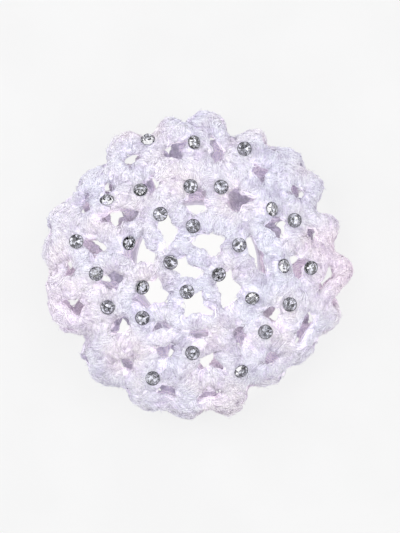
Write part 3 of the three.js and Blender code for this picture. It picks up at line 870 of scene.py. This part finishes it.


# name, tint, strength of the grain, how unlike the threads are, painted glow standing in for
# light passing through
yarn = yarn_material("silky_yarn", (0.90, 0.90, 0.905), 0.5, 0.4, 0.035)
# a lit copy for the inside of the bag: paler and pinker, with the strongest painted glow
lit_inside_yarn = yarn_material("yarn_inside_painted_glow", (1.0, 0.955, 0.98), 0.5, 0.6, 0.24)
# a shaded copy for the skin between the threads: its mauve tint and strong grain are painted
# shade
shaded_core_yarn = yarn_material("skin_yarn_painted_shade", (0.92, 0.89, 0.94), 0.8, 0.0, 0.07)
finish = {"net_body": shaded_core_yarn, "inside_threads": lit_inside_yarn}
for piece in [net_body] + threads:
    piece.data.materials.clear()
    piece.data.materials.append(finish.get(piece.name, yarn))
    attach(piece, "root")
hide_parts("crochet_net")
print("yarn on", len(threads) + 1, "pieces")

# %% [markdown]
# ## Crystals
#
# A crystal is clear glass in a shallow cup of foil. Light goes in through one facet,
# comes back from the foil and leaves through another, so the facets show light and dark
# patches. The back of the glass is a very low cone of five facets, which breaks up what
# the flat top shows. The foil is turned up round the girdle, and its edge is a thin dark
# lip: painted shade that stands for the shadow round the girdle. One cut crystal is
# modelled at the origin, and a copy of it is laid where each packed one sits, a little
# turned and tilted, as a hand sticks them on.

# %% Glass, foil and the painted shade of the girdle
glass, tree, shader = node_material("crystal_glass")
tree.links.new(
    ramp(tree, noise(tree, 300, 1), [(0.4, (0.95, 0.945, 0.975)), (0.6, (0.98, 0.975, 1.0))]),
    shader.inputs["Base Color"],
)
shader.inputs["Roughness"].default_value = 0.015
shader.inputs["IOR"].default_value = 1.54
shader.inputs["Transmission Weight"].default_value = 1.0

foil, tree, shader = node_material("crystal_foil")
tree.links.new(
    ramp(tree, noise(tree, 500, 2), [(0.35, (0.74, 0.75, 0.79)), (0.65, (0.92, 0.93, 0.96))]),
    shader.inputs["Base Color"],
)
shader.inputs["Metallic"].default_value = 1.0
shader.inputs["Roughness"].default_value = 0.10
bump(tree, shader, [(noise(tree, 400, 1), 0.2, 0.05)])

# painted shade: a dark lip round the girdle that stands for its shadow
girdle_shade, tree, shader = node_material("girdle_painted_shade")
tree.links.new(
    ramp(tree, noise(tree, 900, 2), [(0.35, (0.06, 0.06, 0.07)), (0.65, (0.13, 0.13, 0.15))]),
    shader.inputs["Base Color"],
)
shader.inputs["Metallic"].default_value = 0.6
shader.inputs["Roughness"].default_value = 0.35
print("crystal materials", glass.name, foil.name, girdle_shade.name)


# %% One cut crystal
STONE_RADIUS, STONE_HEIGHT, GIRDLE = 2.35, 1.9, 0.35
LIP_WIDTH, LIP_HEIGHT, FOIL_HEIGHT, SPARE = 0.15, 0.41, 0.02, 0.01
GLASS_RADIUS = STONE_RADIUS - LIP_WIDTH - SPARE
# radius, height, corners, turn
FACET_RINGS = [
    (GLASS_RADIUS * 0.10, 0.05, 5, 0.0), (GLASS_RADIUS * 0.99, 0.31, 5, 0.0),
    (GLASS_RADIUS, GIRDLE, 16, 0.0), (STONE_RADIUS * 0.56, STONE_HEIGHT, 8, math.pi / 16),
]


def cut_glass():
    """The hull of the rings of corners: a closed solid whose flat sides are the facets."""
    part = bmesh.new()
    for size, height, corners, turn in FACET_RINGS:
        lay = Matrix.Translation((0, 0, height * MM)) @ Matrix.Rotation(turn, 4, "Z")
        bmesh.ops.create_circle(
            part, cap_ends=False, segments=corners, radius=size * MM, matrix=lay
        )
    bmesh.ops.convex_hull(part, input=part.verts)
    for edge in [edge for edge in part.edges if not edge.link_faces]:
        part.edges.remove(edge)
    bmesh.ops.dissolve_limit(part, angle_limit=0.01, verts=part.verts, edges=part.edges)
    bmesh.ops.recalc_face_normals(part, faces=part.faces)
    return part


def foil_cup():
    """A shallow cup round the glass: its back on z = 0, and a flat dark lip, painted shade of the
    girdle.
    """
    part = bmesh.new()
    bmesh.ops.create_circle(part, cap_ends=True, segments=32, radius=STONE_RADIUS * MM)
    back = list(part.faces)
    raised = bmesh.ops.extrude_face_region(part, geom=back)["geom"]
    top = [face for face in raised if isinstance(face, bmesh.types.BMFace)][0]
    bmesh.ops.translate(part, verts=top.verts, vec=(0, 0, LIP_HEIGHT * MM))
    lip = bmesh.ops.inset_region(part, faces=[top], thickness=LIP_WIDTH * MM)["faces"]
    well = bmesh.ops.extrude_face_region(part, geom=[top])["geom"]
    bottom = [face for face in well if isinstance(face, bmesh.types.BMFace)][0]
    bmesh.ops.translate(part, verts=bottom.verts, vec=(0, 0, (FOIL_HEIGHT - LIP_HEIGHT) * MM))
    bmesh.ops.delete(part, geom=[top], context="FACES_ONLY")
    bmesh.ops.recalc_face_normals(part, faces=part.faces)
    for face in part.faces:
        face.material_index = 1
    # the lip is dark: painted shade of the girdle
    for face in lip:
        face.material_index = 2
    return part


def crystal_pattern():
    """The glass and its cup as one mesh of two closed solids."""
    both = bmesh.new()
    for part in (cut_glass(), foil_cup()):
        loose = [edge for edge in part.edges if len(edge.link_faces) != 2]
        volume = part.calc_volume(signed=True) / MM ** 3
        print(len(part.faces), "faces,", len(loose), "open edges,", round(volume, 2), "mm3")
        mesh = bpy.data.meshes.new("part")
        part.to_mesh(mesh)
        part.free()
        both.from_mesh(mesh)
        bpy.data.meshes.remove(mesh)
    pattern = bpy.data.meshes.new("crystal_pattern")
    both.to_mesh(pattern)
    both.free()
    for material in (glass, foil, girdle_shade):
        pattern.materials.append(material)
    return pattern


pattern = crystal_pattern()

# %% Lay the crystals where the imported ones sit
TILT = math.radians(4)
stone_dice = random.Random(5)
for name in stones:
    middle, outward = backs[name]
    piece_mesh = pattern.copy()
    piece_mesh.name = name + "_cut"
    stand = (-outward).to_track_quat("Z", "Y").to_matrix().to_4x4()
    turn = Matrix.Rotation(stone_dice.uniform(0, math.pi / 4), 4, "Z")
    tilt = Matrix.Rotation(stone_dice.gauss(0, TILT), 4, "X")
    tilt = tilt @ Matrix.Rotation(stone_dice.gauss(0, TILT), 4, "Y")
    piece_mesh.transform(Matrix.Translation(middle) @ stand @ tilt @ turn)
    piece = bpy.data.objects.new(name + "_cut", piece_mesh)
    scene.collection.objects.link(piece)
    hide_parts(name)
    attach(piece, "root")
print("crystals", len(stones), "of", len(piece_mesh.polygons), "faces")

# %% [markdown]
# ## The elastic
#
# A ring of covered elastic runs in the hem and draws the mouth together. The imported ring
# has the right shape and size, so it stays, and only gets a finish: a matt lilac-white
# cover whose fine ribs are a noise in its colour and its bump.

# %% The elastic
elastic, tree, shader = node_material("covered_elastic")
tree.links.new(
    ramp(tree, noise(tree, 400, 2), [(0.3, (0.78, 0.76, 0.84)), (0.7, (0.92, 0.91, 0.95))]),
    shader.inputs["Base Color"],
)
shader.inputs["Roughness"].default_value = 0.7
bump(tree, shader, [(noise(tree, 900, 3), 0.5, 0.2)])
nodes["rim_elastic"].data.materials.clear()
nodes["rim_elastic"].data.materials.append(elastic)
print("finish of the elastic", elastic.name)

# %% [markdown]
# ## Table
#
# The snood lies on a plain pale table. It glows a little, as a light table does, and a
# little more under the net, which takes away the shadow inside the bag. The table isn't
# part of the object, so it isn't attached to the snood's body.

# %% Table
floor_bm = bmesh.new()
bmesh.ops.create_grid(floor_bm, x_segments=2, y_segments=2, size=1.5)
floor_mesh = bpy.data.meshes.new("table")
floor_bm.to_mesh(floor_mesh)
floor_bm.free()
table = bpy.data.objects.new("table", floor_mesh)
scene.collection.objects.link(table)
pale, tree, shader = node_material("pale_table")
tree.links.new(
    ramp(tree, noise(tree, 30, 2), [(0.4, (0.065, 0.065, 0.065)), (0.6, (0.075, 0.075, 0.075))]),
    shader.inputs["Base Color"],
)
shader.inputs["Roughness"].default_value = 0.9
# painted light: the glow grows to full strength under the net, a pool of light that takes away
# the shadow inside the bag
tree.links.new(
    ramp(tree, spot(tree, (0, 0, 0), 60), [
        (0.2, (0.883, 0.883, 0.883)), (0.42, (1.0, 1.0, 0.985)),
    ]),
    shader.inputs["Emission Color"],
)
shader.inputs["Emission Strength"].default_value = 0.915
table.data.materials.append(pale)
print("table", tuple(round(v, 2) for v in table.dimensions))

# %% [markdown]
# ## Room and lamps
#
# The light comes from a room of dark and bright patches and from four large soft lamps.
# The yarn only takes the soft sum of it, but the crystals mirror the patches, and that
# gives them their dark and bright facets. The lamps are hidden from light that has gone
# through glass, because their mirror images in the foil would be far too bright.

# %% Room
scene.view_settings.view_transform = "Standard"
world = bpy.data.worlds.new("room")
world.use_nodes = True
tree = world.node_tree
where = tree.nodes.new("ShaderNodeTexCoord")
patches = tree.nodes.new("ShaderNodeTexNoise")
patches.inputs["Scale"].default_value = 7.0
patches.inputs["Detail"].default_value = 0.5
tree.links.new(where.outputs["Generated"], patches.inputs["Vector"])
room = ramp(tree, patches.outputs["Fac"], [
    (0.46, (0.0, 0.0, 0.0)), (0.50, (0.10, 0.10, 0.11)),
    (0.535, (0.90, 0.90, 0.93)), (0.61, (1.7, 1.7, 1.73)),
])
tree.links.new(room, tree.nodes["Background"].inputs["Color"])
tree.nodes["Background"].inputs["Strength"].default_value = 0.89
scene.world = world
print("room", world.name)


# %% Lamps
def lamp(name, place, size, power):
    """A round soft lamp that points at the snood."""
    data = bpy.data.lights.new(name, "AREA")
    data.shape = "DISK"
    data.size = size
    data.energy = power
    holder = bpy.data.objects.new(name, data)
    holder.location = place
    holder.rotation_euler = (-Vector(place)).to_track_quat("-Z", "Y").to_euler()
    holder.visible_transmission = False
    scene.collection.objects.link(holder)


lamp("left_lamp", (-0.75, 0.35, 0.85), 1.2, 9.5)
lamp("right_lamp", (0.95, 0.15, 0.75), 1.0, 4.9)
lamp("front_lamp", (0.10, -1.05, 0.75), 1.0, 4.9)
lamp("back_lamp", (0.15, 0.95, 0.90), 0.9, 3.8)
print("lamps", len(bpy.data.lights))
